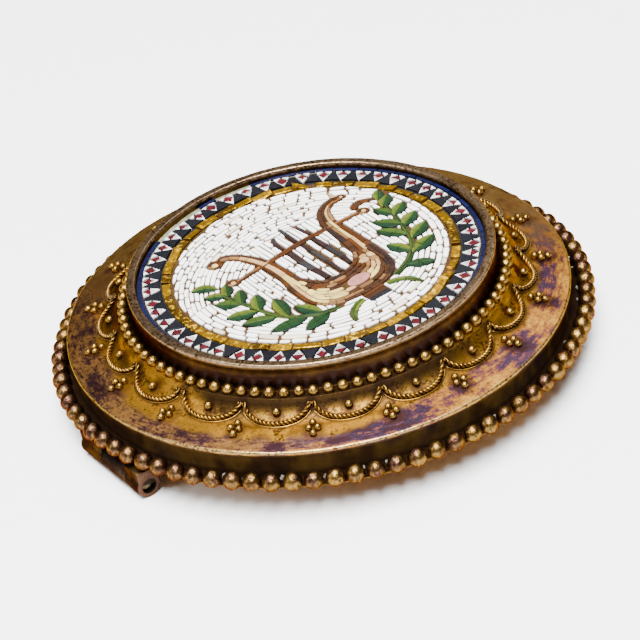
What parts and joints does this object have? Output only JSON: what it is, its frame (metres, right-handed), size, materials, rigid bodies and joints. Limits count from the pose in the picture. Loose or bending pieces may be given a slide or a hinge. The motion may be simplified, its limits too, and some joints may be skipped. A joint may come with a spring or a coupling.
{
  "type": "micromosaic brooch",
  "caption": "Round gold brooch with a beaded, scalloped mount round a glass micromosaic of a lyre between laurel branches, and a hinged pin and hook catch at the back.",
  "frame": {"origin": "the disc's axis, at the height of the surface that the hinge tube and the catch touch when the brooch lies face up", "axes": "+Z out of the picture, +Y towards the top of the lyre, +X to the picture's right; the hinge is at -X and the catch at +X"},
  "size_m": [0.042, 0.042, 0.0087],
  "materials": {
    "gold": "worn satin gold, darker in the hollows",
    "pin_metal": "dull, tarnished",
    "slab": "matt",
    "cobalt_glass": "polished, opaque",
    "white_glass": "satin, opaque",
    "slate_glass": "satin, opaque",
    "red_glass": "satin, opaque",
    "gold_glass": "satin, opaque",
    "tan_glass": "satin, opaque",
    "umber_glass": "satin, opaque",
    "green_glass": "satin, opaque"
  },
  "bodies": {
    "root": {"gold_mount": "gold", "hinge_rivet": "gold", "pin_stem": "pin_metal", "mosaic_slab": "slab", "blue_ring": "cobalt_glass", "white_triangles": "white_glass", "slate_triangles": "slate_glass", "red_diamonds": "red_glass", "gold_ring": "gold_glass", "lyre": "tan_glass", "lyre_strings": "umber_glass", "laurel_left": "green_glass", "laurel_right": "green_glass", "white_ground": "white_glass"}
  },
  "joints": []
}
